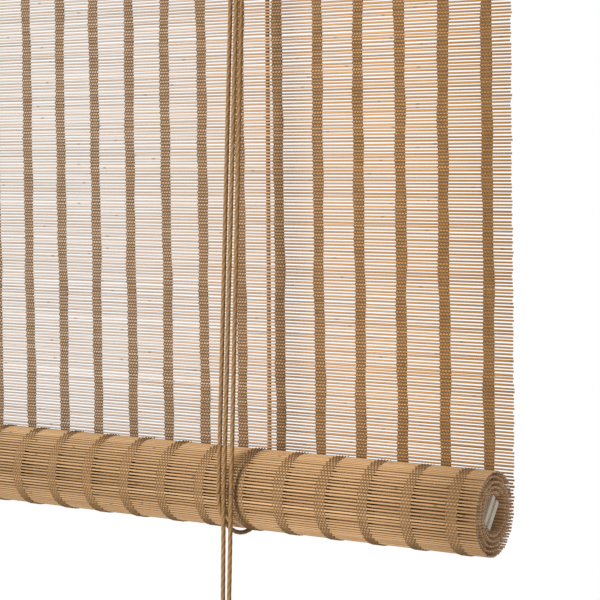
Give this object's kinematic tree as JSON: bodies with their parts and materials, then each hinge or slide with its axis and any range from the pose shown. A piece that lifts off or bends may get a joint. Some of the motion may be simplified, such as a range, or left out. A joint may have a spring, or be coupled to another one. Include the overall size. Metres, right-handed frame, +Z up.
{
  "type": "cord-operated roll-up blind",
  "caption": "Roll-up window blind of woven bamboo, partly raised, with head rail, wall brackets, lift cords, pulley, cord lock, bottom batten and tasselled pull cords.",
  "frame": {"origin": "middle of the head rail's top face", "axes": "+X along the head rail, to the right seen from the room; +Y towards the wall; +Z up"},
  "size_m": [0.9, 0.0633, 0.982],
  "materials": {
    "bamboo": "thin split bamboo sticks, semi-matt, woven with brown cotton warp stripes",
    "batten_wood": "pale planed bamboo slats",
    "rail_wood": "satin varnished wood in the mat's golden brown",
    "tassel_wood": "turned and varnished wood",
    "cord": "twisted brown cotton cord",
    "bright_steel": "zinc plated",
    "plate_steel": "zinc plated pressed sheet",
    "sheave_plastic": "ivory nylon",
    "cam_brass": "cast brass, dull"
  },
  "bodies": {
    "head": {"anchor_eye_left": "bright_steel", "anchor_eye_right": "bright_steel", "bracket_left": "plate_steel", "bracket_right": "plate_steel", "bracket_screw_left": "bright_steel", "bracket_screw_right": "bright_steel", "clamp_screw_1": "bright_steel", "clamp_screw_2": "bright_steel", "clamp_screw_3": "bright_steel", "clamp_screw_4": "bright_steel", "clamp_screw_5": "bright_steel", "crossing_cord": "cord", "head_rail": "rail_wood", "lift_cord_front_left": "cord", "lift_cord_front_right": "cord", "lift_cord_rear_left": "cord", "lift_cord_rear_right": "cord", "lift_knot_left": "cord", "lift_knot_right": "cord", "lock_axle": "bright_steel", "lock_cam_pin": "bright_steel", "lock_cord": "cord", "lock_housing": "plate_steel", "lock_screw_1": "bright_steel", "lock_screw_2": "bright_steel", "mat_clamp_lath": "rail_wood", "mat_hanging": "bamboo", "pull_cord_upper_a": "cord", "pull_cord_upper_b": "cord", "pulley_axle_left": "bright_steel", "pulley_housing_left": "plate_steel", "pulley_screw_1": "bright_steel", "pulley_screw_2": "bright_steel"},
    "roll": {"mat_roll": "bamboo", "batten_front": "batten_wood", "batten_back": "batten_wood", "batten_screw_1": "bright_steel", "batten_screw_2": "bright_steel", "batten_screw_3": "bright_steel"},
    "carriage": {"lift_loop_left": "cord", "lift_loop_right": "cord"},
    "pull": {"pull_cord_lower_a": "cord", "pull_cord_lower_b": "cord", "cord_tassel": "tassel_wood", "tassel_knot": "cord"},
    "left_sheave": {"pulley_sheave_left": "sheave_plastic"},
    "front_sheave": {"lock_sheave_front": "sheave_plastic"},
    "back_sheave": {"lock_sheave_back": "sheave_plastic"},
    "cam": {"lock_cam": "cam_brass"}
  },
  "joints": [
    {"name": "roll_lift", "type": "slide", "parent": "head", "child": "carriage", "axis": [0, 0, 1], "range_m": [0, 0.7037], "deforming": ["mat_hanging", "lift_cord_rear_left", "lift_cord_rear_right", "lift_cord_front_left", "lift_cord_front_right", "pull_cord_upper_a", "pull_cord_upper_b"]},
    {"name": "roll_turn", "type": "hinge", "parent": "carriage", "child": "roll", "pos_m": [0, -0.00704, -0.8], "axis": [-1, 0, 0], "range_deg": [0, 1801]},
    {"name": "pull_travel", "type": "slide", "parent": "carriage", "child": "pull", "axis": [0, 0, -1], "range_m": [0, 2.112], "deforming": ["pull_cord_lower_a", "pull_cord_lower_b"]},
    {"name": "left_sheave_spin", "type": "hinge", "parent": "head", "child": "left_sheave", "pos_m": [-0.2977, -0.004, -0.036], "axis": [0, 1, 0], "range_deg": [0, 13910]},
    {"name": "front_sheave_spin", "type": "hinge", "parent": "head", "child": "front_sheave", "pos_m": [0.3143, -0.004, -0.036], "axis": [0, 1, 0], "range_deg": [0, 13910]},
    {"name": "back_sheave_spin", "type": "hinge", "parent": "head", "child": "back_sheave", "pos_m": [0.3143, 0.004, -0.036], "axis": [0, 1, 0], "range_deg": [0, 13910]},
    {"name": "cam_tilt", "type": "hinge", "parent": "head", "child": "cam", "pos_m": [0.333, 0, -0.038], "axis": [0, -1, 0], "range_deg": [0, 35]}
  ],
  "couplings": [
    {"joint": "roll_turn", "follows": "roll_lift", "rad_per_m": 44.643},
    {"joint": "pull_travel", "follows": "roll_lift", "ratio": 3},
    {"joint": "left_sheave_spin", "follows": "roll_lift", "rad_per_m": 344.83},
    {"joint": "front_sheave_spin", "follows": "roll_lift", "rad_per_m": 344.83},
    {"joint": "back_sheave_spin", "follows": "roll_lift", "rad_per_m": 344.83}
  ]
}
